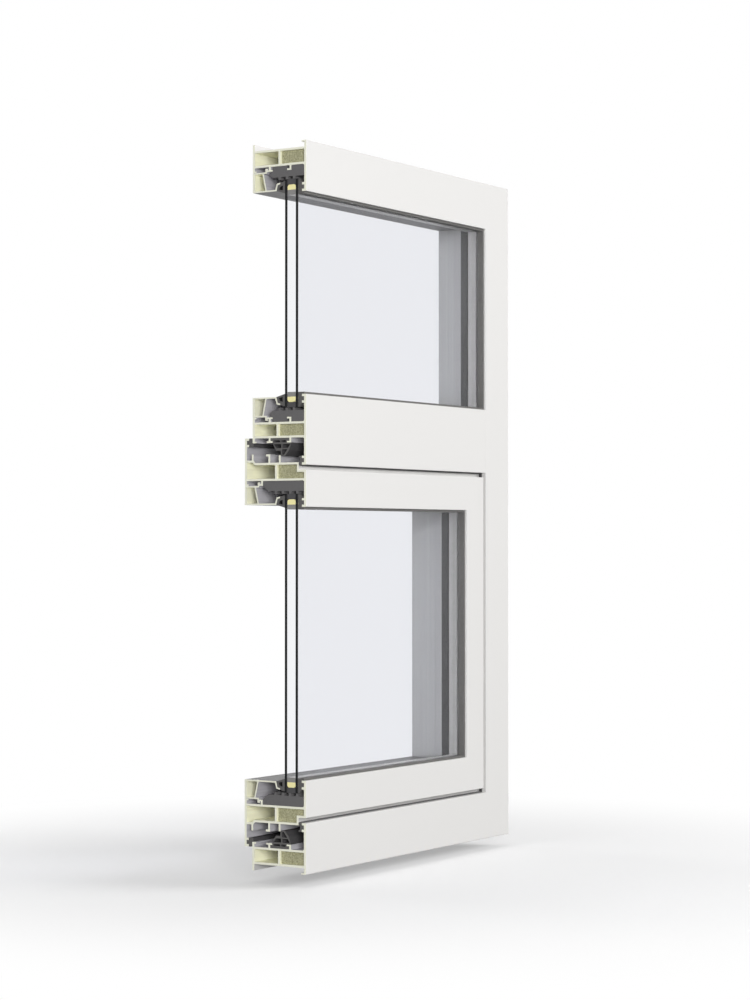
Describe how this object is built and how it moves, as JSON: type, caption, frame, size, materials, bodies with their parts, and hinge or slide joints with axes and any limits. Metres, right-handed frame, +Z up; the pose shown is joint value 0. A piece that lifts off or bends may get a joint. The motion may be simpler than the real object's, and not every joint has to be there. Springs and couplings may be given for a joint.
{
  "type": "sectioned tilt and turn window sample",
  "caption": "Sectioned window sample in multi-chamber glass-fibre profiles: a fixed light above a transom and an inward-opening tilt and turn sash below, both double glazed.",
  "frame": {"origin": "bottom centre of the outer box, at the foot of the sill; the box runs from the exterior face to the sash's interior face", "axes": "+Z up, +X along the width from the cut face to the jamb, +Y inward, from the exterior face to the room"},
  "size_m": [0.408, 0.0746, 0.73],
  "materials": {
    "frame_profile": "white painted glass fibre, satin, cut ends cream",
    "bead_profile": "white painted glass fibre, satin, cut ends cream",
    "profile_foam": "granular olive insulation foam",
    "rebate_foam": "matt grey foam",
    "gasket_rubber": "matt dark grey rubber",
    "glass": "clear polished, dark cut edge",
    "spacer_bar": "matt dark warm-edge spacer",
    "desiccant": "pale yellow granules",
    "edge_sealant": "matt black sealant"
  },
  "bodies": {
    "root": {"centre_gasket": "gasket_rubber", "fixed_block": "rebate_foam", "fixed_desiccant": "desiccant", "fixed_head_bead": "bead_profile", "fixed_inner_gasket": "gasket_rubber", "fixed_inner_pane": "glass", "fixed_jamb_bead": "bead_profile", "fixed_outer_gasket": "gasket_rubber", "fixed_outer_pane": "glass", "fixed_sealant": "edge_sealant", "fixed_spacer": "spacer_bar", "fixed_transom_bead": "bead_profile", "head": "frame_profile", "head_foam": "profile_foam", "jamb": "frame_profile", "jamb_foam": "profile_foam", "overlap_gasket": "gasket_rubber", "sash_block": "rebate_foam", "sash_bottom_bead": "bead_profile", "sash_bottom_foam": "profile_foam", "sash_bottom_rail": "frame_profile", "sash_desiccant": "desiccant", "sash_inner_gasket": "gasket_rubber", "sash_inner_pane": "glass", "sash_outer_gasket": "gasket_rubber", "sash_outer_pane": "glass", "sash_sealant": "edge_sealant", "sash_spacer": "spacer_bar", "sash_stile": "frame_profile", "sash_stile_bead": "bead_profile", "sash_stile_foam": "profile_foam", "sash_top_bead": "bead_profile", "sash_top_foam": "profile_foam", "sash_top_rail": "frame_profile", "sill": "frame_profile", "sill_foam": "profile_foam", "stop_gasket": "gasket_rubber", "transom": "frame_profile", "transom_foam": "profile_foam"}
  },
  "joints": []
}
